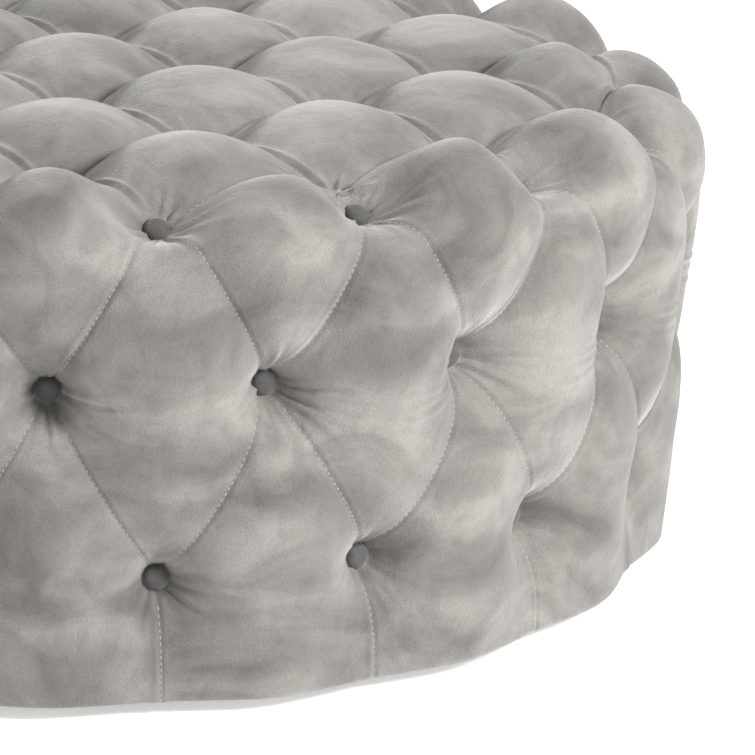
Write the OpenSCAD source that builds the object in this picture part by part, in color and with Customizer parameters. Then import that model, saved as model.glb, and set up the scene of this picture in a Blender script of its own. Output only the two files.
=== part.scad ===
// Round button-tufted ottoman with a fixed, fully upholstered drum.
// Origin on the floor under the centre, +Z up, the front faces -Y. All sizes in millimetres.

/* [Overall size] */
// Radius over the crests of the pillows round the side
cover_r = 456; // [452:1:462]
// Height of the crests of the pillows on the top above the floor
total_h = 367; // [364:1:372]
// Outer radius of the rounded shoulder between the side and the top
shoulder_r = 60; // [56:1:64]

/* [Cover and padding] */
// Thickness of the velvet with its backing
cover_t = 2.5; // [1.5:0.1:3]
// Thickness of the polyester batting under the velvet
batting_t = 6; // [4:0.5:7]
// Gap left between curved layers
layer_gap = 0.3; // [0.2:0.1:0.4]
// Radius of the opening that the turned-under edge of the cover leaves
hem_r = 352; // [345:1:358]
// Radius of the flat floor of each button pit
pit_floor_r = 12; // [11:0.5:13]
// Widening of a pit for each millimetre of its depth
pit_slope = 0.35; // [0.25:0.05:0.4]

/* [Buttons] */
// Diameter of a covered button
button_d = 20; // [17:1:21]
// Height of a button's domed face above its flat back
button_h = 5; // [4:0.5:6]
// Number of buttons in each row round the side
row_count = 18; // [18:1:18]
// Sideways half step of the button lattice on the top
lattice_x = 92; // [90:1:92]
// Front-to-back half step of the button lattice on the top
lattice_y = 109; // [107:1:109]
// Height of the seats of the top buttons
top_seat_z = 323; // [320:1:326]
// Radius and height of the shoulder row's seats
shoulder_row = [399.3, 323.2];
// Upward tilt of the shoulder row's buttons
shoulder_tilt = 50; // [45:1:55]
// Radius and height of the middle row's seats
middle_row = [410, 220];
// Radius and height of the lower row's seats
lower_row = [407, 90];
// Diameter of the wire eye on a button's back
shank_d = 5; // [4:0.5:6]
// Diameter of the tufting twine
twine_d = 1.6; // [1.2:0.1:2]
// Diameter of the washer that the twine is knotted behind
anchor_d = 12; // [10:1:12]

/* [Frame] */
// Outer radius of the curved side panel
panel_r = 397; // [396:1:398]
// Thickness of the curved side panel
panel_t = 6; // [4:1:6]
// Thickness of the plywood deck
deck_t = 15; // [12:1:18]
// Height of the deck's upper face
deck_z = 303; // [301:1:304]
// Thickness of the plywood base ring
ring_t = 18; // [15:1:18]
// Inner radius of the base ring
ring_inner_r = 330; // [320:1:335]
// Outer radius of the base ring
ring_outer_r = 426; // [422:1:430]
// Side of a square timber post
post_w = 38; // [34:1:38]
// Directions of the posts, in degrees round from the front
post_angles = [25, 65, 115, 155, 205, 245, 295, 335];
// Width and depth of a batten under the deck
batten_size = [30, 60];

/* [Underside] */
// Height of the glides
glide_h = 8; // [6:1:8]
// Diameter of a glide
glide_d = 34; // [30:1:34]
// Radius of the circle of glides
glide_circle_r = 382; // [375:1:384]
// Thickness of the dust cover
dust_t = 1; // [0.6:0.1:1]
// Radius of the dust cover
dust_r = 414; // [410:1:418]
// Thickness of staple wire
wire_t = 1; // [0.8:0.1:1]
// Width of a staple's crown
crown_w = 10; // [8:1:12]
// Number of staples in each circle of staples
staple_count = 36; // [24:12:36]

/* [Hidden] */
$fn = 96;

velvet_color = [0.68, 0.67, 0.65];
wood_color = [0.78, 0.64, 0.44];
foam_color = [0.93, 0.88, 0.70];
batting_color = [0.96, 0.96, 0.95];
steel_color = [0.62, 0.63, 0.65];

hem_z = glide_h + dust_t + wire_t;
ring_z = hem_z + cover_t;
ring_top = ring_z + ring_t;
batting_inset = cover_t + layer_gap;
foam_inset = batting_inset + batting_t + layer_gap;
foam_r = cover_r - foam_inset;
shoulder_z = total_h - shoulder_r;
deck_under = deck_z - deck_t;
panel_inner_r = panel_r - panel_t;
post_r = panel_inner_r - 3;
pit_reach = 70;
shank_hole_d = shank_d + 2.4;
shank_wire = 1.2;
twine_bore = 5;
twine_start = shank_d + 1.6;
screw_d = 4;
screw_head_d = 8;
screw_len = 50;
nail_d = 2.4;
nail_len = 30;
glide_screw_len = 18;
staple_leg = 9;
hem_staple_r = 362;
dust_staple_r = 407;
batten_y = lattice_y / 2;
batten_len = 2 * sqrt(pow(post_r, 2) - pow(batten_y + batten_size[0] / 2, 2));
batten_screw_x = [-300, -120, 120, 300];
post_screw_r = post_r - post_w / 2;

// Half section of the upholstered drum, pulled in by inset and cut off below bottom
module drum_section(inset, bottom) {
    r = cover_r - inset;
    h = total_h - inset;
    s = shoulder_r - inset;
    translate([0, bottom]) square([r, h - s - bottom]);
    translate([0, bottom]) square([r - s, h - bottom]);
    translate([r - s, h - s]) circle(s);
}

// Sets children on a circle: +X of the child points outward, angle 0 is the front
module around(angles, r, z) {
    for (a = angles) rotate([0, 0, a - 90]) translate([r, 0, z]) children();
}

function row_angles(offset) = [for (k = [0 : row_count - 1]) (k + offset) * 360 / row_count];

// Places children at a row of button seats, +Z of the child leaves the seat outward
module at_row(seat, tilt, offset) {
    around(row_angles(offset), seat[0], seat[1]) rotate([0, 90 - tilt, 0]) children();
}

module at_shoulder_row() at_row(shoulder_row, shoulder_tilt, 0.5) children();
module at_middle_row() at_row(middle_row, 0, 0) children();
module at_lower_row() at_row(lower_row, 0, 0.5) children();

// Every second point of the lattice is a button, out to the start of the shoulder
module at_top_buttons() {
    for (i = [-4 : 4], j = [-3 : 3])
        if ((abs(i) + abs(j)) % 2 == 1 && norm([i * lattice_x, j * lattice_y]) < 390)
            translate([i * lattice_x, j * lattice_y, top_seat_z]) children();
}

// A pit widened by grow on every face, from the seat out past the cover
module pit(grow) {
    translate([0, 0, -grow])
        cylinder(h = pit_reach, r1 = pit_floor_r + grow, r2 = pit_floor_r + grow + pit_slope * pit_reach);
}

// Room for a button's pit, its wire eye and its twine in the padding
module padding_bore(below) {
    pit(cover_t + layer_gap);
    translate([0, 0, -below]) cylinder(h = below, d = twine_bore);
    translate([0, 0, -twine_start]) cylinder(h = twine_start, d = shank_hole_d);
}

module cover_pit() {
    pit(0);
    translate([0, 0, -cover_t - 1]) cylinder(h = cover_t + 2, d = shank_hole_d);
}

module covered_button() {
    dome_r = (pow(button_d / 2, 2) + pow(button_h, 2)) / (2 * button_h);
    rotate_extrude() intersection() {
        translate([0, button_h - dome_r]) circle(dome_r);
        square([button_d / 2, button_h]);
    }
}

module wire_eye() {
    translate([0, 0, -shank_d / 2 - shank_wire / 2]) rotate([90, 0, 0])
        rotate_extrude() translate([shank_d / 2 - shank_wire / 2, 0]) circle(d = shank_wire);
}

module twine(below) translate([0, 0, -below]) cylinder(h = below - twine_start, d = twine_d);

module anchor(below) {
    translate([0, 0, -below]) rotate_extrude()
        translate([twine_d / 2 + 0.4, 0]) square([(anchor_d - twine_d) / 2 - 0.4, 1.5]);
}

// Length of twine from a seat to behind its washer: straight down, slanted or radial
top_below = top_seat_z - deck_under + 4;
shoulder_below = (shoulder_row[1] - deck_under) / sin(shoulder_tilt) + 7;
middle_below = middle_row[0] - panel_inner_r + 4;
lower_below = lower_row[0] - panel_inner_r + 4;

// Countersunk screw with its head flush at the origin, pointing along +Z
module screw(len, grow) {
    cylinder(h = screw_head_d / 2 - 1, d1 = screw_head_d + 2 * grow, d2 = screw_d + 2 * grow);
    cylinder(h = len + grow, d = screw_d + 2 * grow);
}

module at_deck_screws() {
    around(post_angles, post_screw_r, deck_z) rotate([180, 0, 0]) children();
    for (x = batten_screw_x, y = [-batten_y, batten_y])
        translate([x, y, deck_z]) rotate([180, 0, 0]) children();
}

module at_base_screws() around(post_angles, post_screw_r, ring_z) children();
module at_glide_screws() {
    around([for (k = [0 : 7]) 22.5 + 45 * k], glide_circle_r, 3) children();
}

module at_panel_nails() {
    for (z = [70, 160, 260]) around(post_angles, panel_r, z) rotate([0, -90, 0]) children();
}

module nail(grow) cylinder(h = nail_len + grow, d = nail_d + 2 * grow);

// Staple with its crown at the origin and its legs up; the crown lies along the circle
module staple() {
    translate([-wire_t / 2, -crown_w / 2, 0]) cube([wire_t, crown_w, wire_t]);
    staple_legs(0);
}

module staple_legs(grow) {
    for (side = [-1, 1]) translate([0, side * (crown_w - wire_t) / 2, staple_leg / 2])
        cube([wire_t + 2 * grow, wire_t + 2 * grow, staple_leg], center = true);
}

staple_angles = [for (k = [0 : staple_count - 1]) (k + 0.5) * 360 / staple_count];
module at_hem_staples() around(staple_angles, hem_staple_r, hem_z - wire_t) children();
module at_dust_staples() around(staple_angles, dust_staple_r, glide_h - wire_t) children();

module velvet_cover() color(velvet_color) difference() {
    rotate_extrude() drum_section(0, hem_z);
    difference() {
        rotate_extrude() drum_section(cover_t, ring_z);
        at_top_buttons() pit(cover_t);
        at_shoulder_row() pit(cover_t);
        at_middle_row() pit(cover_t);
        at_lower_row() pit(cover_t);
    }
    translate([0, 0, hem_z - 1]) cylinder(r = hem_r, h = cover_t + 2);
    at_top_buttons() cover_pit();
    at_shoulder_row() cover_pit();
    at_middle_row() cover_pit();
    at_lower_row() cover_pit();
    at_hem_staples() staple_legs(0.1);
    at_dust_staples() staple_legs(0.1);
    at_glide_screws() screw(glide_screw_len, 0.2);
}

module top_batting() color(batting_color) difference() {
    rotate_extrude() drum_section(batting_inset, ring_z);
    rotate_extrude() drum_section(batting_inset + batting_t, ring_z - 1);
    translate([0, 0, ring_z - 2]) cylinder(r = cover_r, h = shoulder_z - ring_z + 2);
    at_top_buttons() pit(cover_t + layer_gap);
    at_shoulder_row() pit(cover_t + layer_gap);
}

module side_batting() color(batting_color) difference() {
    translate([0, 0, ring_z]) cylinder(r = cover_r - batting_inset, h = shoulder_z - ring_z);
    translate([0, 0, ring_z - 1])
        cylinder(r = cover_r - batting_inset - batting_t, h = shoulder_z - ring_z + 2);
    at_middle_row() pit(cover_t + layer_gap);
    at_lower_row() pit(cover_t + layer_gap);
}

module top_foam() color(foam_color) difference() {
    rotate_extrude() drum_section(foam_inset, deck_z);
    at_top_buttons() padding_bore(top_below);
    at_shoulder_row() padding_bore(shoulder_below);
}

module side_foam() color(foam_color) difference() {
    translate([0, 0, ring_top]) cylinder(r = foam_r, h = deck_z - ring_top);
    translate([0, 0, ring_top - 1]) cylinder(r = panel_r + layer_gap, h = deck_z - ring_top + 2);
    at_middle_row() padding_bore(middle_below);
    at_lower_row() padding_bore(lower_below);
}

module top_deck() color(wood_color) difference() {
    translate([0, 0, deck_under]) cylinder(r = panel_inner_r - layer_gap, h = deck_t);
    at_top_buttons() translate([0, 0, -top_below]) cylinder(h = top_below, d = twine_bore);
    at_shoulder_row() translate([0, 0, -shoulder_below]) cylinder(h = shoulder_below, d = twine_bore);
    at_deck_screws() screw(screw_len, 0.2);
}

module side_panel() color(wood_color) difference() {
    translate([0, 0, ring_top]) cylinder(r = panel_r, h = deck_z - ring_top);
    translate([0, 0, ring_top - 1]) cylinder(r = panel_inner_r, h = deck_z - ring_top + 2);
    at_middle_row() translate([0, 0, -middle_below]) cylinder(h = middle_below, d = twine_bore);
    at_lower_row() translate([0, 0, -lower_below]) cylinder(h = lower_below, d = twine_bore);
    at_panel_nails() nail(0.1);
}

module base_ring() color(wood_color) difference() {
    translate([0, 0, ring_z]) cylinder(r = ring_outer_r, h = ring_t);
    translate([0, 0, ring_z - 1]) cylinder(r = ring_inner_r, h = ring_t + 2);
    at_base_screws() screw(screw_len, 0.2);
    at_glide_screws() screw(glide_screw_len, 0.2);
    at_hem_staples() staple_legs(0.1);
    at_dust_staples() staple_legs(0.1);
}

// Timber post between the base ring and the deck
module post(index) color(wood_color) difference() {
    around([post_angles[index]], post_r - post_w, ring_top)
        translate([0, -post_w / 2, 0]) cube([post_w, post_w, deck_under - ring_top]);
    at_deck_screws() screw(screw_len, 0.2);
    at_base_screws() screw(screw_len, 0.2);
    at_panel_nails() nail(0.1);
}

module deck_batten(side) color(wood_color) difference() {
    translate([0, side * batten_y, deck_under - batten_size[1] / 2])
        cube([batten_len, batten_size[0], batten_size[1]], center = true);
    at_deck_screws() screw(screw_len, 0.2);
}

module top_buttons() color(velvet_color) at_top_buttons() covered_button();
module shoulder_buttons() color(velvet_color) at_shoulder_row() covered_button();
module middle_buttons() color(velvet_color) at_middle_row() covered_button();
module lower_buttons() color(velvet_color) at_lower_row() covered_button();

module button_shanks() color(steel_color) {
    at_top_buttons() wire_eye();
    at_shoulder_row() wire_eye();
    at_middle_row() wire_eye();
    at_lower_row() wire_eye();
}

module tufting_twine() color("white") {
    at_top_buttons() twine(top_below);
    at_shoulder_row() twine(shoulder_below);
    at_middle_row() twine(middle_below);
    at_lower_row() twine(lower_below);
}

module twine_anchors() color(steel_color) {
    at_top_buttons() anchor(top_below);
    at_shoulder_row() anchor(shoulder_below);
    at_middle_row() anchor(middle_below);
    at_lower_row() anchor(lower_below);
}

module deck_screws() color(steel_color) at_deck_screws() screw(screw_len, 0);
module base_screws() color(steel_color) at_base_screws() screw(screw_len, 0);
module panel_nails() color(steel_color) at_panel_nails() nail(0);
module hem_staples() color(steel_color) at_hem_staples() staple();
module dust_cover_staples() color(steel_color) at_dust_staples() staple();

module dust_cover() color([0.12, 0.12, 0.12]) difference() {
    translate([0, 0, glide_h]) cylinder(r = dust_r, h = dust_t);
    at_glide_screws() screw(glide_screw_len, 0.2);
    at_dust_staples() staple_legs(0.1);
}

module glides() color([0.14, 0.14, 0.15]) difference() {
    around([for (k = [0 : 7]) 22.5 + 45 * k], glide_circle_r, 0) {
        translate([0, 0, 1]) cylinder(h = glide_h - 1, d = glide_d);
        cylinder(h = 1, d1 = glide_d - 2, d2 = glide_d);
    }
    at_glide_screws() screw(glide_screw_len, 0.2);
    at_glide_screws() translate([0, 0, -4]) cylinder(h = 4.1, d = screw_head_d + 1);
}

module glide_screws() color(steel_color) at_glide_screws() screw(glide_screw_len, 0);

velvet_cover();
top_batting();
side_batting();
top_foam();
side_foam();
top_deck();
side_panel();
base_ring();
post(0);  // post_1
post(1);  // post_2
post(2);  // post_3
post(3);  // post_4
post(4);  // post_5
post(5);  // post_6
post(6);  // post_7
post(7);  // post_8
deck_batten(-1);  // deck_batten_front
deck_batten(1);  // deck_batten_back
top_buttons();
shoulder_buttons();
middle_buttons();
lower_buttons();
button_shanks();
tufting_twine();
twine_anchors();
deck_screws();
base_screws();
panel_nails();
hem_staples();
dust_cover();
dust_cover_staples();
glides();
glide_screws();
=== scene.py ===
import math

import bmesh
import bpy
import numpy as np
from mathutils import Matrix, Vector


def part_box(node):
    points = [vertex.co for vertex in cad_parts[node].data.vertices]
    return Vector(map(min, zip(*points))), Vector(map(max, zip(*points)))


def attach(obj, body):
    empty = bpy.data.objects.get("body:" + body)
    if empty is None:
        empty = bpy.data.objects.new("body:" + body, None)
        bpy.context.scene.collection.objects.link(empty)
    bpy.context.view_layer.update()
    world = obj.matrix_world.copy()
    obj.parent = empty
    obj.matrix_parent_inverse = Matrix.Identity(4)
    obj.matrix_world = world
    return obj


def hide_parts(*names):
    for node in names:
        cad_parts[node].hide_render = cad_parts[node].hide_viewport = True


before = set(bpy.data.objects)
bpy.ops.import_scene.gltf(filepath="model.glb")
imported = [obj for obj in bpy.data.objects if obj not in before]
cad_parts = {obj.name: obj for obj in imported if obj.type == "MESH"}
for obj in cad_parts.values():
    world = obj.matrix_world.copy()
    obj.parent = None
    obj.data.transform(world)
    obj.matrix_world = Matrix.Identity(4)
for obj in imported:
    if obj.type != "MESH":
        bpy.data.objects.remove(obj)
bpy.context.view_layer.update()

# Camera. A long lens nearly three metres in front of the ottoman looks down a little at its
# right-hand half.
camera_lens = bpy.data.cameras.new("camera")
camera_lens.lens = 188.3
camera_lens.sensor_width = 36
camera = bpy.data.objects.new("camera", camera_lens)
bpy.context.scene.collection.objects.link(camera)
turn = math.radians(1.836)
dip = math.radians(16.22)
roll = math.radians(1.313)
ahead = Vector((math.sin(turn) * math.cos(dip), math.cos(turn) * math.cos(dip), -math.sin(dip)))
level_right = Vector((math.cos(turn), -math.sin(turn), 0))
level_up = level_right.cross(ahead)
camera_right = math.cos(roll) * level_right + math.sin(roll) * level_up
camera_up = math.cos(roll) * level_up - math.sin(roll) * level_right
camera_frame = Matrix((camera_right, camera_up, -ahead)).transposed().to_4x4()
camera.matrix_world = Matrix.Translation((0.1344, -2.8611, 0.9446)) @ camera_frame
bpy.context.scene.camera = camera

# Timber frame. Eight sawn softwood posts stand on the base ring and carry two battens and the
# deck, all screwed together. The grain runs along each length.


class Finish:
    """A material under construction, with its shader and the object's own coordinates."""

    def __init__(self, name):
        self.material = bpy.data.materials.new(name)
        self.material.use_nodes = True
        tree = self.material.node_tree
        self.nodes = tree.nodes
        self.links = tree.links
        self.shader = self.nodes["Principled BSDF"]
        self.place = self.nodes.new("ShaderNodeTexCoord").outputs["Object"]

    def stretch(self, scale, turn_by=(0, 0, 0)):
        """The coordinates scaled along each axis."""
        mapping = self.nodes.new("ShaderNodeMapping")
        mapping.inputs["Scale"].default_value = scale
        mapping.inputs["Rotation"].default_value = turn_by
        self.links.new(self.place, mapping.inputs["Vector"])
        return mapping.outputs["Vector"]

    def mottle(self, scale, detail=4, where=None, twist=0):
        """Soft random light and dark, scale patches to the metre."""
        noise = self.nodes.new("ShaderNodeTexNoise")
        noise.inputs["Scale"].default_value = scale
        noise.inputs["Detail"].default_value = detail
        noise.inputs["Distortion"].default_value = twist
        self.links.new(where or self.place, noise.inputs["Vector"])
        return noise.outputs["Fac"]

    def shades(self, amount, stops):
        """Turns an amount from 0 to 1 into the colours of the stops."""
        ramp = self.nodes.new("ShaderNodeValToRGB")
        ramp.color_ramp.elements[0].position = stops[0][0]
        ramp.color_ramp.elements[0].color = (*stops[0][1], 1)
        ramp.color_ramp.elements[1].position = stops[-1][0]
        ramp.color_ramp.elements[1].color = (*stops[-1][1], 1)
        for position, colour in stops[1:-1]:
            ramp.color_ramp.elements.new(position).color = (*colour, 1)
        self.links.new(amount, ramp.inputs["Fac"])
        return ramp.outputs["Color"]

    def blend(self, first, second, share, how="MIX"):
        """Two colours mixed; share is a number or an amount."""
        mix = self.nodes.new("ShaderNodeMix")
        mix.data_type = "RGBA"
        mix.blend_type = how
        self.links.new(first, mix.inputs["A"])
        self.links.new(second, mix.inputs["B"])
        if isinstance(share, (int, float)):
            mix.inputs["Factor"].default_value = share
        else:
            self.links.new(share, mix.inputs["Factor"])
        return mix.outputs["Result"]

    def between(self, amount, low, high):
        """An amount from 0 to 1 spread from low to high."""
        spread = self.nodes.new("ShaderNodeMapRange")
        spread.inputs["To Min"].default_value = low
        spread.inputs["To Max"].default_value = high
        self.links.new(amount, spread.inputs["Value"])
        return spread.outputs["Result"]

    def relief(self, amount, depth, under=None):
        """A bump of the given depth in metres, on top of another."""
        bump = self.nodes.new("ShaderNodeBump")
        bump.inputs["Strength"].default_value = 1
        bump.inputs["Distance"].default_value = depth
        self.links.new(amount, bump.inputs["Height"])
        if under:
            self.links.new(under, bump.inputs["Normal"])
        return bump.outputs["Normal"]

    def finish(self, colour, roughness, normal=None):
        """Joins colour, roughness and bump to the shader."""
        self.links.new(colour, self.shader.inputs["Base Color"])
        if isinstance(roughness, (int, float)):
            self.shader.inputs["Roughness"].default_value = roughness
        else:
            self.links.new(roughness, self.shader.inputs["Roughness"])
        if normal:
            self.links.new(normal, self.shader.inputs["Normal"])
        return self.material


def give(material, *names):
    """Puts a material on carried-over parts of the frame."""
    for name in names:
        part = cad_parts[name]
        part.data.materials.clear()
        part.data.materials.append(material)


def softwood(name, along):
    """Sawn pine with its grain along one axis."""
    wood = Finish(name)
    lines = wood.mottle(38, 6, wood.stretch(along), 0.6)
    pores = wood.mottle(420, 3, wood.stretch(along))
    patches = wood.mottle(9, 2)
    growth = wood.shades(lines, [(0.3, (0.50, 0.33, 0.17)), (0.5, (0.66, 0.48, 0.28)),
                                 (0.7, (0.74, 0.57, 0.36))])
    worn = wood.shades(patches, [(0.35, (0.78, 0.74, 0.70)), (0.65, (1, 1, 1))])
    rough = wood.between(pores, 0.55, 0.8)
    return wood.finish(wood.blend(growth, worn, 0.6, "MULTIPLY"), rough, wood.relief(pores, 0.0003))


give(softwood("pine_upright", (1, 1, 0.07)), *[f"post_{number}" for number in range(1, 9)])
give(softwood("pine_lengthways", (0.07, 1, 1)), "deck_batten_front", "deck_batten_back")

# Plywood parts. The base ring, the round deck and the bent side panel are sawn from birch
# plywood, whose plies show as thin bands on the cut edges.


def plywood(name, face_grain):
    """Birch plywood with its plies one above the other."""
    ply = Finish(name)
    grain = ply.mottle(30, 6, ply.stretch(face_grain), 0.8)
    plies = ply.nodes.new("ShaderNodeTexWave")
    plies.bands_direction = "Z"
    plies.inputs["Scale"].default_value = 105
    plies.inputs["Distortion"].default_value = 0.6
    ply.links.new(ply.place, plies.inputs["Vector"])
    veneer = ply.shades(grain, [(0.3, (0.62, 0.46, 0.28)), (0.7, (0.80, 0.66, 0.46))])
    bands = ply.shades(plies.outputs["Fac"], [(0.2, (0.62, 0.55, 0.48)), (0.6, (1, 1, 1))])
    rough = ply.between(grain, 0.5, 0.72)
    return ply.finish(ply.blend(veneer, bands, 0.75, "MULTIPLY"), rough, ply.relief(grain, 0.0002))


give(plywood("birch_ply_flat", (0.12, 1, 1)), "base_ring", "top_deck")
give(plywood("birch_ply_bent", (1, 1, 0.15)), "side_panel")

# Fixings. Zinc-plated screws, nails, staples, wire eyes and the washers behind the twine.
# Each is driven or tied where the wooden frame holds it.


def plated_steel(name, pale, dark):
    """Bright plated steel with faint drawing marks."""
    steel = Finish(name)
    marks = steel.mottle(900, 3, steel.stretch((1, 1, 0.2)))
    clouds = steel.mottle(60, 3)
    steel.shader.inputs["Metallic"].default_value = 1
    tone = steel.shades(clouds, [(0.35, dark), (0.65, pale)])
    return steel.finish(tone, steel.between(marks, 0.28, 0.5), steel.relief(marks, 0.00005))


zinc = plated_steel("zinc_plating", (0.72, 0.73, 0.75), (0.55, 0.56, 0.58))
give(zinc, "deck_screws", "base_screws", "panel_nails", "glide_screws", "twine_anchors")
drawn_wire = plated_steel("drawn_wire", (0.66, 0.66, 0.68), (0.48, 0.48, 0.50))
give(drawn_wire, "hem_staples", "dust_cover_staples", "button_shanks")

# Tufting twine. Waxed white polyester twine runs from each button's eye through the padding
# and is knotted behind a washer.
twine = Finish("waxed_twine")
strands = twine.nodes.new("ShaderNodeTexWave")
strands.bands_direction = "DIAGONAL"
strands.inputs["Scale"].default_value = 300
twine.links.new(twine.place, strands.inputs["Vector"])
laid = twine.shades(strands.outputs["Fac"], [(0.2, (0.70, 0.68, 0.62)), (0.8, (0.90, 0.89, 0.84))])
fuzz = twine.mottle(2000, 2)
give(twine.finish(laid, twine.between(fuzz, 0.5, 0.75), twine.relief(strands.outputs["Fac"], 0.0002)),
     "tufting_twine")

# Velvet upholstery. One grey velvet cover is pulled over foam and batting, and 82 buttons draw
# it down into deep tufts: a diamond lattice on top and eighteen columns round the side.
# Its lower edge is turned under the base ring and stapled.
columns = 18
crown_r = 394
crown_z = 350
shoulder = 40
side_r = crown_r + shoulder
round_end = crown_r + shoulder * math.pi / 2
fold_start = round_end + 296
bottom_edge = fold_start + 4
shoulder_place = 409.3
middle_place = 546.8
lower_place = 676.8
shoulder_seat_r = 399.3
shoulder_seat_z = 323.2
shoulder_tilt = math.radians(50)
lattice_step = (92, 109)
top_depth = -27
shoulder_depth = -25.8
middle_depth = -24
lower_depth = -27
cells = 440
ring_gap = 1.6

trail = [(0, crown_z), (crown_r, crown_z)]
for part_turn in np.linspace(0, math.pi / 2, 25)[1:]:
    trail.append((crown_r + shoulder * math.sin(part_turn),
                  crown_z - shoulder + shoulder * math.cos(part_turn)))
trail.append((side_r, 14))
for part_turn in np.linspace(0, math.pi / 2, 7)[1:]:
    trail.append((side_r - 4 + 4 * math.cos(part_turn), 14 - 4 * math.sin(part_turn)))
trail += [(352, 10), (351, 11), (352, 12), (428, 12), (428, 31), (401, 31), (401, 313), (320, 313)]
trail = np.array(trail)
trail_length = np.concatenate([[0], np.cumsum(np.hypot(*np.diff(trail, axis=0).T))])
hem_end = trail_length[-8]
inside_end = trail_length[-1]


class Seam:
    """A seam between two buttons, straight in the flat pattern of the top or of the side."""

    def __init__(self, on_side, start, end, start_depth, end_depth, middle_depth, pleat):
        self.on_side = on_side
        self.start = np.array(start, float)
        self.length = float(np.hypot(*(np.array(end) - self.start)))
        self.along = (np.array(end) - self.start) / self.length
        self.depths = (start_depth, end_depth, middle_depth)
        self.pleat = pleat

    def measure(self, x, y, rho, phi):
        """How far along the seam and to its side each point is."""
        if self.on_side:
            start_phi = self.start[0] / side_r
            dx = side_r * ((phi - start_phi + math.pi) % (2 * math.pi) - math.pi)
            dy = rho - self.start[1]
        else:
            dx = x - self.start[0]
            dy = y - self.start[1]
        run = dx * self.along[0] + dy * self.along[1]
        off = dy * self.along[0] - dx * self.along[1]
        return run, off

    def depth(self, to_first, to_last):
        """The height of the seam's bottom, deep at the buttons and shallow between them."""
        first, last, middle = self.depths
        funnel = 21 if self.on_side else 25
        from_first = np.exp(-np.maximum(to_first - 10, 0) / funnel)
        from_last = np.exp(-np.maximum(to_last - 10, 0) / funnel)
        return middle + (first - middle) * from_first + (last - middle) * from_last


def on_top(angle, place):
    """A point of the shoulder in the top's flat pattern."""
    return (place * math.sin(angle), -place * math.cos(angle))


def column_angle(number, half=0.0):
    """The direction of a column of buttons, from the front."""
    return 2 * math.pi * (number + half) / columns


top_spots = {}
for i in range(-6, 7):
    for j in range(-5, 6):
        spot = (i * lattice_step[0], j * lattice_step[1])
        if (i + j) % 2 and math.hypot(*spot) < 390:
            top_spots[i, j] = spot

seams = []
for (i, j), spot in top_spots.items():
    for step_j in (-1, 1):
        neighbour = top_spots.get((i + 1, j + step_j))
        if neighbour:
            seams.append(Seam(False, spot, neighbour, top_depth, top_depth, -1, 2.8 * (step_j < 0)))
shoulder_links = {0: [(0, -3), (2, -3)], 1: [(2, -3)], 2: [(3, -2)], 3: [(4, -1)],
                  4: [(4, -1), (4, 1)], 5: [(4, 1)], 6: [(3, 2)], 7: [(2, 3)], 8: [(2, 3), (0, 3)]}
for number, links in shoulder_links.items():
    for side in (1, -1):
        angle = column_angle(number, 0.5) * side
        for i, j in links:
            pleat = 2.6 * (i * side * lattice_step[0] < 409 * math.sin(angle))
            seams.append(Seam(False, top_spots[i * side, j], on_top(angle, shoulder_place),
                              top_depth, shoulder_depth, 3, pleat))
for number in range(columns):
    above = side_r * column_angle(number, 0.5)
    for turn_by in (0, 1):
        beside = side_r * column_angle(number + turn_by)
        seams.append(Seam(True, (above, shoulder_place), (beside, middle_place),
                          shoulder_depth, middle_depth, 18, 1.1 * (turn_by == 0)))
        seams.append(Seam(True, (beside, middle_place), (above, lower_place),
                          middle_depth, lower_depth, 14, 0))
    seams.append(Seam(True, (above, lower_place), (above, bottom_edge), lower_depth, 0, 2, 1.2))

chance = np.random.default_rng(7)
slack_waves = [(chance.normal(size=3), chance.uniform(0, 6.3), length) for length in
               (210, 190, 160, 140, 120, 100, 85, 75, 62, 54, 46, 40)]


# A heading is clockwise as seen from outside, and 0 is up the side or towards the back.
wrinkles = {}
wrinkle_strength = 2.3
wrinkle_reach = 78


def gather(spot, on_side, headings, reach, height, spread=9):
    """Wrinkles round a button, one for each heading: heading, length, width, height and bend."""
    for heading in headings:
        wrinkles.setdefault((spot, on_side), []).append(
            (math.radians(heading + chance.normal(0, spread)), reach * chance.uniform(0.7, 1.25),
             chance.uniform(1.2, 1.8), wrinkle_strength * height * chance.uniform(0.5, 1.2),
             chance.normal(0, 0.1)))


for spot in top_spots.values():
    gather(spot, False, [20, 75, 105, 160, 200, 255, 285, 340], 42, 1.2)
    gather(spot, False, [0, 180, 90, 270], 28, 0.9)
for number in range(columns):
    shoulder_spot = (side_r * column_angle(number, 0.5), shoulder_place)
    middle_spot = (side_r * column_angle(number), middle_place)
    lower_spot = (side_r * column_angle(number, 0.5), lower_place)
    gather(shoulder_spot, True, [97, 107, 118, 130, 143], 54, 1.3, 3)
    gather(shoulder_spot, True, [158, 171, 184, 198, 214], 44, 1.2, 4)
    gather(shoulder_spot, True, [-72, -50, -30, -8, 15, 50, 75], 34, 1.1)
    gather(shoulder_spot, True, [232, 252], 38, 1.0)
    gather(middle_spot, True, [78, 88, 98, 109, 121], 62, 1.0, 3)
    gather(middle_spot, True, [-80, -92, -104, -118], 50, 0.9, 4)
    gather(middle_spot, True, [-20, 8, 150, 172, 197], 36, 0.9)
    gather(lower_spot, True, [100, 118, 140, 162, -165, -140, -118, -100], 38, 0.8, 5)
    gather(lower_spot, True, [-50, -15, 20, 50], 28, 0.7)
smiles = [[(sag, chance.uniform(1.4, 2.6), chance.uniform(-4, 4)) for sag in (6, 14, 24)]
          for number in range(columns)]

# How far the velvet puffs up between its seams, at distances from the middle of the top along it.
puff_places = [0, 340, 400, 440, 480, 520, 560, 640, 690, 730, bottom_edge]
puff_heights = [20, 20, 18, 15, 17, 16, 13, 8, 6, 4, 2]


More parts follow.
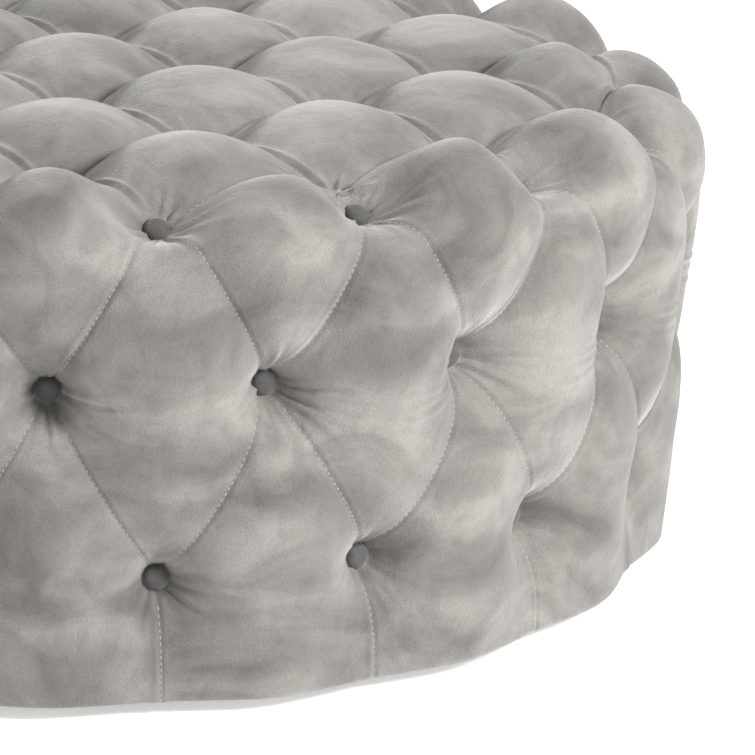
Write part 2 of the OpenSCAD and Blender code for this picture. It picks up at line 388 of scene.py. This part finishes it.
def velvet_height(x, y):
    """How far the puffed velvet stands off its middle surface, and its pleats and wrinkles
    on top of that, at points of the flat pattern."""
    rho = np.hypot(x, y)
    phi = np.arctan2(x, -y)
    shared = np.zeros_like(rho)
    level = np.zeros_like(rho)
    crowd = np.zeros_like(rho)
    folds = np.zeros_like(rho)
    to_button = np.full_like(rho, 999)
    for seam in seams:
        run, off = seam.measure(x, y, rho, phi)
        held = np.clip(run, 0, seam.length)
        gap = (run - held) ** 2 + off ** 2 + 2.0
        share = gap ** -2
        shared += share
        to_first = np.hypot(run, off)
        to_last = np.hypot(run - seam.length, off)
        to_button = np.minimum(to_button, to_first)
        if seam.depths[1] < -10:
            to_button = np.minimum(to_button, to_last)
        level += share * seam.depth(to_first, to_last)
        crowd += gap ** -1.5
        close = np.nonzero(gap < 60)[0]
        ridge = 0.5 * np.exp(-((off[close] + 3.0) / 1.5) ** 2)
        groove = 1.1 * np.exp(-(off[close] / 1.3) ** 2)
        folds[close] += ridge - groove
        if seam.pleat:
            near = np.nonzero((gap < 400) & (run > 2) & (run < seam.length - 2))[0]
            ends = np.minimum(1, np.minimum(run[near], seam.length - run[near]) / 14)
            folds[near] += seam.pleat * ends * np.exp(-((off[near] - 3.2) / 2.1) ** 2)
    room = crowd ** (-1 / 3)
    puff = np.interp(rho, puff_places, puff_heights)
    eased = np.clip((to_button - 9) / 42, 0, 1)
    puff = puff * eased * (2 - eased)
    height = level / shared + puff * (1 - np.exp(-1.1 * room / 38)) / (1 - math.exp(-1.1))
    centre = 300
    out = np.minimum(rho, side_r)
    spot3 = np.stack([out * np.sin(phi), -out * np.cos(phi), centre - np.maximum(rho - side_r, 0)])
    for direction, phase, length in slack_waves:
        turns = direction @ spot3.reshape(3, -1) * (2 * math.pi / length / np.linalg.norm(direction))
        wave = np.sin(turns.reshape(rho.shape) + phase)
        height = height + 0.0035 * length * wave * np.minimum(1, room / 12)
    for (spot, on_side), creases in wrinkles.items():
        if on_side:
            near = np.nonzero(np.abs(rho - spot[1]) < wrinkle_reach)[0]
            dx = side_r * ((phi[near] - spot[0] / side_r + math.pi) % (2 * math.pi) - math.pi)
            dy = spot[1] - rho[near]
        else:
            near = np.nonzero(np.abs(y - spot[1]) < wrinkle_reach)[0]
            dx = x[near] - spot[0]
            dy = y[near] - spot[1]
        inside = np.abs(dx) < wrinkle_reach
        near = near[inside]
        dx = dx[inside]
        dy = dy[inside]
        for heading, length, width, tall, bend in creases:
            run = dx * math.sin(heading) + dy * math.cos(heading)
            off = dx * math.cos(heading) - dy * math.sin(heading) - bend * run ** 2 / length
            width = width + 0.03 * np.maximum(run, 0)
            taper = np.clip((run - 7) / 6, 0, 1) * np.clip(1.3 * (length - run) / length, 0, 1)
            crest = np.exp(-(off / width) ** 2) - 0.6 * np.exp(-((off - 1.8 * width) / width) ** 2)
            folds[near] += tall * taper * crest
    for number in range(columns):
        start = column_angle(number)
        across = ((phi - start + math.pi) % (2 * math.pi) - math.pi) / column_angle(1)
        near = np.nonzero((across > 0.03) & (across < 0.97) & (np.abs(rho - middle_place - 16) < 40))[0]
        half = across[near]
        for sag, strength, lean in smiles[number]:
            line = middle_place + sag * (1 - (2 * half - 1) ** 2) ** 0.8 + lean * (half - 0.5)
            off = rho[near] - line
            fade = np.clip(np.abs(2 * half - 1), 0.35, 1) * np.clip((1 - np.abs(2 * half - 1)) / 0.12, 0, 1)
            crease = np.exp(-(off / 2.2) ** 2) - 0.7 * np.exp(-((off + 3.6) / 2.4) ** 2)
            folds[near] += strength * fade * crease
    return height, folds


def lay_velvet(x, y, height, folds):
    """The place in the ottoman, in millimetres, of points of the flat pattern. Round each button
    of the shoulder the velvet tilts to face as the button does."""
    rho = np.hypot(x, y)
    phi = np.arctan2(x, -y)
    r = np.interp(rho, trail_length, trail[:, 0])
    z = np.interp(rho, trail_length, trail[:, 1])
    lean = np.clip((rho - crown_r) / shoulder, 0, math.pi / 2)
    turned_under = np.clip((rho - fold_start) / 50, 0, 1)
    r = r + height * np.sin(lean) * (1 - turned_under)
    z = z + height * np.cos(lean)
    sixth = column_angle(1)
    dx = side_r * (np.mod(phi, sixth) - sixth / 2)
    dy = rho - shoulder_place
    away = np.hypot(dx, dy)
    cup = 15 * (1 - np.exp(-np.maximum(away - 10, 0) / 20))
    pull = np.exp(-(away / 36) ** 2)
    r = r + pull * (shoulder_seat_r + math.sin(shoulder_tilt) * dy + math.cos(shoulder_tilt) * cup - r)
    z = z + pull * (shoulder_seat_z - math.cos(shoulder_tilt) * dy + math.sin(shoulder_tilt) * cup - z)
    r = r + folds * np.sin(lean) * (1 - turned_under)
    z = z + folds * np.cos(lean)
    return np.stack([r * np.sin(phi), -r * np.cos(phi), z], axis=-1)


rings = list(np.arange(crown_r + 4 * ring_gap, bottom_edge + 4, 4 * ring_gap))
rings += [(bottom_edge + hem_end) / 2, hem_end]
rings += list(trail_length[-6:-1]) + [inside_end]
cloth = bmesh.new()
bmesh.ops.create_grid(cloth, x_segments=cells // 4, y_segments=cells // 4, size=1)
outline = [edge for edge in cloth.edges if edge.is_boundary]
for number in range(len(rings)):
    made = bmesh.ops.extrude_edge_only(cloth, edges=outline)["geom"]
    new_corners = {item for item in made if isinstance(item, bmesh.types.BMVert)}
    outline = [item for item in made if isinstance(item, bmesh.types.BMEdge)
               and item.verts[0] in new_corners and item.verts[1] in new_corners]
    grow = (100 + number + 1) / (100 + number)
    bmesh.ops.scale(cloth, vec=(grow, grow, 1), verts=list(new_corners))
bmesh.ops.contextual_create(cloth, geom=outline)
flat_corners = [corner.co.copy() for corner in cloth.verts]
for corner in cloth.verts:
    span = max(abs(corner.co.x), abs(corner.co.y))
    deep = min(span - 1, 0.01 * len(rings)) if span > 1 else 0
    corner.co.z = -deep if deep < 0.005 * len(rings) else deep - 0.01 * len(rings)
    if deep >= 0.005 * len(rings):
        corner.co.xy *= 0.9 / span
bmesh.ops.recalc_face_normals(cloth, faces=cloth.faces)
for corner, flat_corner in zip(cloth.verts, flat_corners):
    corner.co = flat_corner
bmesh.ops.subdivide_edges(cloth, edges=cloth.edges, cuts=3, use_grid_fill=True)
cover_mesh = bpy.data.meshes.new("velvet_upholstery")
cloth.to_mesh(cover_mesh)
cloth.free()

corners = np.zeros(len(cover_mesh.vertices) * 3)
cover_mesh.vertices.foreach_get("co", corners)
across = corners.reshape(-1, 3)[:, 0]
back = corners.reshape(-1, 3)[:, 1]
reach = np.maximum(np.abs(across), np.abs(back))
flat_rho = np.interp(reach, [0] + list(1 + 0.01 * np.arange(len(rings) + 1)), [0, crown_r] + rings)
safe = np.maximum(reach, 1e-9)
wide = np.abs(across) >= np.abs(back)
bearing = np.where(wide, np.pi / 4 * back / safe * np.sign(across) + np.where(across < 0, np.pi, 0),
                   np.pi / 2 - np.pi / 4 * across / safe * np.sign(back) + np.where(back < 0, np.pi, 0))
flat_x = flat_rho * np.cos(bearing)
flat_y = flat_rho * np.sin(bearing)
shrink = np.minimum(1, bottom_edge / np.maximum(flat_rho, 1))
outer = flat_rho <= hem_end
height = np.zeros_like(flat_rho)
folds = np.zeros_like(flat_rho)
height[outer], folds[outer] = velvet_height(flat_x[outer] * shrink[outer], flat_y[outer] * shrink[outer])
height[flat_rho > fold_start + 60] = 0
folds[flat_rho > fold_start + 60] = 0
places = lay_velvet(flat_x, flat_y, height, folds)
cover_mesh.vertices.foreach_set("co", (places * 0.001).ravel())
cover_mesh.update()
cover_mesh.polygons.foreach_set("use_smooth", [True] * len(cover_mesh.polygons))

pile = Finish("silver_grey_velvet")
brushed = pile.mottle(11, 5, pile.stretch((1, 1, 1.6)), 0.9)
smudges = pile.mottle(42, 6, pile.stretch((1, 1, 0.7)), 1.4)
tips = pile.mottle(950, 3)
weave = pile.mottle(520, 2)
ground = pile.shades(brushed, [(0.34, (0.150, 0.143, 0.131)), (0.5, (0.225, 0.216, 0.200)),
                               (0.66, (0.310, 0.298, 0.278))])
stroked = pile.shades(smudges, [(0.34, (0.82, 0.82, 0.82)), (0.5, (0.96, 0.96, 0.96)), (0.66, (1, 1, 1))])
speckle = pile.shades(tips, [(0.36, (0.74, 0.74, 0.74)), (0.64, (1, 1, 1))])
velvet_tone = pile.blend(pile.blend(ground, stroked, 0.8, "MULTIPLY"), speckle, 0.7, "MULTIPLY")
pile.shader.inputs["Sheen Weight"].default_value = 0.5
pile.shader.inputs["Sheen Roughness"].default_value = 0.45
pile.shader.inputs["Sheen Tint"].default_value = (1, 0.985, 0.96, 1)
pile.shader.inputs["Specular IOR Level"].default_value = 0.2
velvet_bump = pile.relief(tips, 0.0005, pile.relief(weave, 0.0003, pile.relief(smudges, 0.0008)))
velvet = pile.finish(velvet_tone, pile.between(smudges, 0.72, 0.9), velvet_bump)
cover_mesh.materials.append(velvet)
cover = bpy.data.objects.new("velvet_upholstery", cover_mesh)
bpy.context.scene.collection.objects.link(cover)
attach(cover, "root")
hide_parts("velvet_cover", "top_batting", "side_batting", "top_foam", "side_foam")

# Seam stitches. The side's diamond panels are sewn together by lockstitch in grey thread, and
# the stitches lie in the bottom of each seam.
stitch_pitch = 4.2
stitch_half = 1.45
stitch_radius = 0.42
thread = Finish("grey_thread")
ply_twist = thread.mottle(1500, 2)
thread_tone = thread.shades(ply_twist, [(0.3, (0.30, 0.29, 0.275)), (0.7, (0.47, 0.46, 0.44))])
thread_finish = thread.finish(thread_tone, thread.between(ply_twist, 0.5, 0.7),
                              thread.relief(ply_twist, 0.0001))
stitch_ends = []
for seam in seams:
    if seam.on_side or not seam.pleat:
        steps = np.arange(19, seam.length - (1 if seam.depths[1] > -10 else 20), stitch_pitch)
        ends = []
        for shift in (-stitch_half, stitch_half):
            line = seam.start[:, None] + seam.along[:, None] * (steps + shift)
            if seam.on_side:
                line_phi = line[0] / side_r
                flat = (line[1] * np.sin(line_phi), -line[1] * np.cos(line_phi))
            else:
                flat = (line[0], line[1])
            stitch_height, stitch_folds = velvet_height(*flat)
            ends.append(lay_velvet(*flat, stitch_height + 0.3, stitch_folds))
        stitch_ends.append(np.stack(ends, axis=1))
stitch_ends = np.concatenate(stitch_ends) * 0.001

# One bead, read back from a mesh so that every copy keeps its corners in the same order.
bead = bmesh.new()
bmesh.ops.create_uvsphere(bead, u_segments=6, v_segments=4, radius=1)
stitch_mesh = bpy.data.meshes.new("seam_stitches")
bead.to_mesh(stitch_mesh)
bead.free()
stitching = bmesh.new()
stitching.from_mesh(stitch_mesh)
one_stitch = np.array([corner.co for corner in stitching.verts])
while len(stitching.verts) < len(one_stitch) * len(stitch_ends):
    bmesh.ops.duplicate(stitching, geom=stitching.verts[:] + stitching.edges[:] + stitching.faces[:])
surplus = stitching.verts[len(one_stitch) * len(stitch_ends):]
bmesh.ops.delete(stitching, geom=surplus, context="VERTS")
stitching.to_mesh(stitch_mesh)
stitching.free()
thread_run = stitch_ends[:, 1] - stitch_ends[:, 0]
lengthways = thread_run / np.linalg.norm(thread_run, axis=1)[:, None]
sideways = np.cross(lengthways, (0.31, 0.17, 0.94))
sideways /= np.linalg.norm(sideways, axis=1)[:, None]
upright = np.cross(lengthways, sideways)
thin_bead = one_stitch[None, :, :] * np.array((stitch_radius * 0.001, stitch_radius * 0.001, 0.5))
laid_beads = (thin_bead[..., 0:1] * sideways[:, None] + thin_bead[..., 1:2] * upright[:, None]
              + thin_bead[..., 2:3] * thread_run[:, None] + stitch_ends.mean(axis=1)[:, None])
stitch_mesh.vertices.foreach_set("co", laid_beads.ravel())
stitch_mesh.update()
stitch_mesh.polygons.foreach_set("use_smooth", [True] * len(stitch_mesh.polygons))
stitch_mesh.materials.append(thread_finish)
stitches = bpy.data.objects.new("seam_stitches", stitch_mesh)
bpy.context.scene.collection.objects.link(stitches)
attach(stitches, "root")

# Covered buttons. Each is a domed steel shell wrapped in the same velvet, which bunches into
# small pleats round its edge, and is pulled down by the twine on its wire eye. Their velvet is
# painted much darker than the cover's, as painted shade of the deep pits the buttons sit in.
button_profile = [(0, 5.0), (3.2, 4.85), (6.0, 4.1), (7.6, 2.9), (8.6, 1.4), (8.9, 0.1),
                  (8.3, -1.0), (0, -1.2)]
button_pleats = 22
button_cloth = Finish("button_velvet")
worn_dome = button_cloth.mottle(160, 4)
button_tips = button_cloth.mottle(1400, 3)
# Painted shade: these tones are about half as bright as the cover's velvet and stand for the shade in the
# tuft pits. Only the mottle between them is random.
dome_tone_painted_shade = button_cloth.shades(worn_dome, [(0.3, (0.075, 0.073, 0.069)), (0.7, (0.115, 0.112, 0.106))])
button_speckle = button_cloth.shades(button_tips, [(0.3, (0.85, 0.85, 0.85)), (0.7, (1, 1, 1))])
button_cloth.shader.inputs["Sheen Weight"].default_value = 0.4
button_cloth.shader.inputs["Sheen Roughness"].default_value = 0.45
button_cloth.shader.inputs["Specular IOR Level"].default_value = 0.2
button_finish = button_cloth.finish(button_cloth.blend(dome_tone_painted_shade, button_speckle, 0.7, "MULTIPLY"),
                                    button_cloth.between(worn_dome, 0.7, 0.88),
                                    button_cloth.relief(button_tips, 0.0003))


def covered_buttons(name, node, seats):
    """One piece with a covered button on each seat, given as a place and an outward direction."""
    work = bmesh.new()
    profile = [work.verts.new((radius, 0, rise)) for radius, rise in button_profile]
    lines = [work.edges.new(pair) for pair in zip(profile, profile[1:])]
    bmesh.ops.spin(work, geom=profile + lines, cent=(0, 0, 0), axis=(0, 0, 1),
                   angle=2 * math.pi, steps=44, use_merge=True)
    bmesh.ops.remove_doubles(work, verts=work.verts, dist=0.01)
    for corner in work.verts:
        near_edge = max(0.0, 1 - abs(corner.co.z - 0.4) / 2.2)
        pinch = 1 + 0.022 * near_edge * math.cos(button_pleats * math.atan2(corner.co.y, corner.co.x))
        corner.co.x *= pinch
        corner.co.y *= pinch
    bmesh.ops.recalc_face_normals(work, faces=work.faces)
    one = work.verts[:] + work.edges[:] + work.faces[:]
    for place, outward in seats[1:]:
        copied = bmesh.ops.duplicate(work, geom=one)["geom"]
        facing = outward.to_track_quat("Z", "Y").to_matrix().to_4x4()
        bmesh.ops.transform(work, matrix=Matrix.Translation(place) @ facing @ Matrix.Scale(0.001, 4),
                            verts=[item for item in copied if isinstance(item, bmesh.types.BMVert)])
    facing = seats[0][1].to_track_quat("Z", "Y").to_matrix().to_4x4()
    bmesh.ops.transform(work, matrix=Matrix.Translation(seats[0][0]) @ facing @ Matrix.Scale(0.001, 4),
                        verts=[item for item in one if isinstance(item, bmesh.types.BMVert)])
    mesh = bpy.data.meshes.new(name)
    work.to_mesh(mesh)
    work.free()
    mesh.polygons.foreach_set("use_smooth", [True] * len(mesh.polygons))
    mesh.materials.append(button_finish)
    piece = bpy.data.objects.new(name, mesh)
    bpy.context.scene.collection.objects.link(piece)
    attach(piece, "root")
    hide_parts(node)


def round_seats(radius, height, tilt, half):
    """Seats of one row of buttons round the side."""
    seats = []
    for number in range(columns):
        angle = column_angle(number, half)
        level = Vector((math.sin(angle), -math.cos(angle), 0))
        place = (level * radius + Vector((0, 0, height))) * 0.001
        seats.append((place, level * math.cos(tilt) + Vector((0, 0, math.sin(tilt)))))
    return seats


top_seat_z = crown_z + top_depth
covered_buttons("top_covered_buttons", "top_buttons",
                [(Vector((x, y, top_seat_z)) * 0.001, Vector((0, 0, 1))) for x, y in top_spots.values()])
covered_buttons("shoulder_covered_buttons", "shoulder_buttons",
                round_seats(shoulder_seat_r, shoulder_seat_z, shoulder_tilt, 0.5))
covered_buttons("middle_covered_buttons", "middle_buttons", round_seats(410, 220, 0, 0))
covered_buttons("lower_covered_buttons", "lower_buttons", round_seats(407, 90, 0, 0.5))

# Dust cover. Black spunbonded cloth closes the underside; it is stretched and stapled to the
# base ring, and dips slightly between its staples and in the middle.
dust_low, dust_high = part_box("dust_cover")
dust_r = dust_high.x - 0.001
staples_round = 36
dust = bmesh.new()
bmesh.ops.create_circle(dust, cap_ends=True, cap_tris=True, segments=144, radius=dust_r)
bmesh.ops.subdivide_edges(dust, edges=dust.edges, cuts=7, use_grid_fill=True)
for corner in dust.verts:
    out = min(1, corner.co.xy.length / dust_r)
    angle = math.atan2(corner.co.x, -corner.co.y)
    scallop = 0.5 - 0.5 * math.cos(angle * staples_round)
    corner.co.z = dust_low.z + 0.0006 - 0.0016 * (1 - out ** 4) + 0.0003 * out ** 8 * scallop
dust_mesh = bpy.data.meshes.new("dust_cover_cloth")
bmesh.ops.recalc_face_normals(dust, faces=dust.faces)
dust.to_mesh(dust_mesh)
dust.free()
dust_mesh.polygons.foreach_set("use_smooth", [True] * len(dust_mesh.polygons))
spunbond = Finish("spunbonded_cloth")
fibres = spunbond.mottle(700, 4, spunbond.stretch((1, 0.4, 1)))
dimples = spunbond.nodes.new("ShaderNodeTexVoronoi")
dimples.inputs["Scale"].default_value = 420
spunbond.links.new(spunbond.place, dimples.inputs["Vector"])
fibre_tone = spunbond.shades(fibres, [(0.3, (0.010, 0.010, 0.011)), (0.7, (0.032, 0.032, 0.034))])
dust_mesh.materials.append(spunbond.finish(fibre_tone, spunbond.between(fibres, 0.7, 0.92),
                                           spunbond.relief(dimples.outputs["Distance"], 0.0003)))
dust_cloth = bpy.data.objects.new("dust_cover_cloth", dust_mesh)
bpy.context.scene.collection.objects.link(dust_cloth)
skin = dust_cloth.modifiers.new("cloth_thickness", "SOLIDIFY")
skin.thickness = 0.0004
skin.offset = 0
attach(dust_cloth, "root")
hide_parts("dust_cover")

# Glides. Eight moulded black nylon discs are screwed under the base ring and carry the ottoman
# a few millimetres off the floor.
nylon = Finish("moulded_nylon")
spark = nylon.mottle(1600, 3)
scuffs = nylon.mottle(90, 5, nylon.stretch((1, 0.25, 1)), 0.5)
nylon_tone = nylon.shades(scuffs, [(0.35, (0.016, 0.016, 0.017)), (0.7, (0.040, 0.040, 0.042))])
give(nylon.finish(nylon_tone, nylon.between(scuffs, 0.38, 0.6), nylon.relief(spark, 0.00008)), "glides")

# Studio. A plain white floor under a pale sky, a large soft light from the right, and weaker
# ones from the left and overhead.
floor_work = bmesh.new()
bmesh.ops.create_grid(floor_work, x_segments=8, y_segments=8, size=12,
                      matrix=Matrix.Translation((0, 0, -0.0005)))
floor_mesh = bpy.data.meshes.new("floor")
floor_work.to_mesh(floor_mesh)
floor_work.free()
floor = bpy.data.objects.new("floor", floor_mesh)
bpy.context.scene.collection.objects.link(floor)
floor_paint = Finish("white_floor")
faint = floor_paint.mottle(2, 2)
floor_tone = floor_paint.shades(faint, [(0.3, (0.90, 0.90, 0.90)), (0.7, (0.92, 0.92, 0.92))])
floor_paint.shader.inputs["Emission Color"].default_value = (1, 1, 1, 1)
floor_paint.shader.inputs["Emission Strength"].default_value = 0.5
floor_mesh.materials.append(floor_paint.finish(floor_tone, 0.9))

sky = bpy.data.worlds.new("studio")
sky.use_nodes = True
sky.node_tree.nodes["Background"].inputs["Color"].default_value = (1, 1, 1, 1)
sky.node_tree.nodes["Background"].inputs["Strength"].default_value = 0.19
bpy.context.scene.world = sky
bpy.context.scene.view_settings.view_transform = "Standard"


def soft_light(name, place, aim, size, power):
    """A square soft light turned towards a point."""
    lamp = bpy.data.lights.new(name, "AREA")
    lamp.shape = "SQUARE"
    lamp.size = size
    lamp.energy = power
    holder = bpy.data.objects.new(name, lamp)
    bpy.context.scene.collection.objects.link(holder)
    holder.location = place
    holder.rotation_euler = (Vector(aim) - Vector(place)).to_track_quat("-Z", "Y").to_euler()


soft_light("right_softbox", (2.0, -1.7, 1.6), (0.1, -0.2, 0.2), 0.55, 100)
soft_light("left_softbox", (-1.9, -1.3, 1.9), (0, -0.2, 0.2), 0.9, 28)
soft_light("overhead_softbox", (-0.5, 1.3, 2.1), (0, 0, 0.2), 1.1, 34)
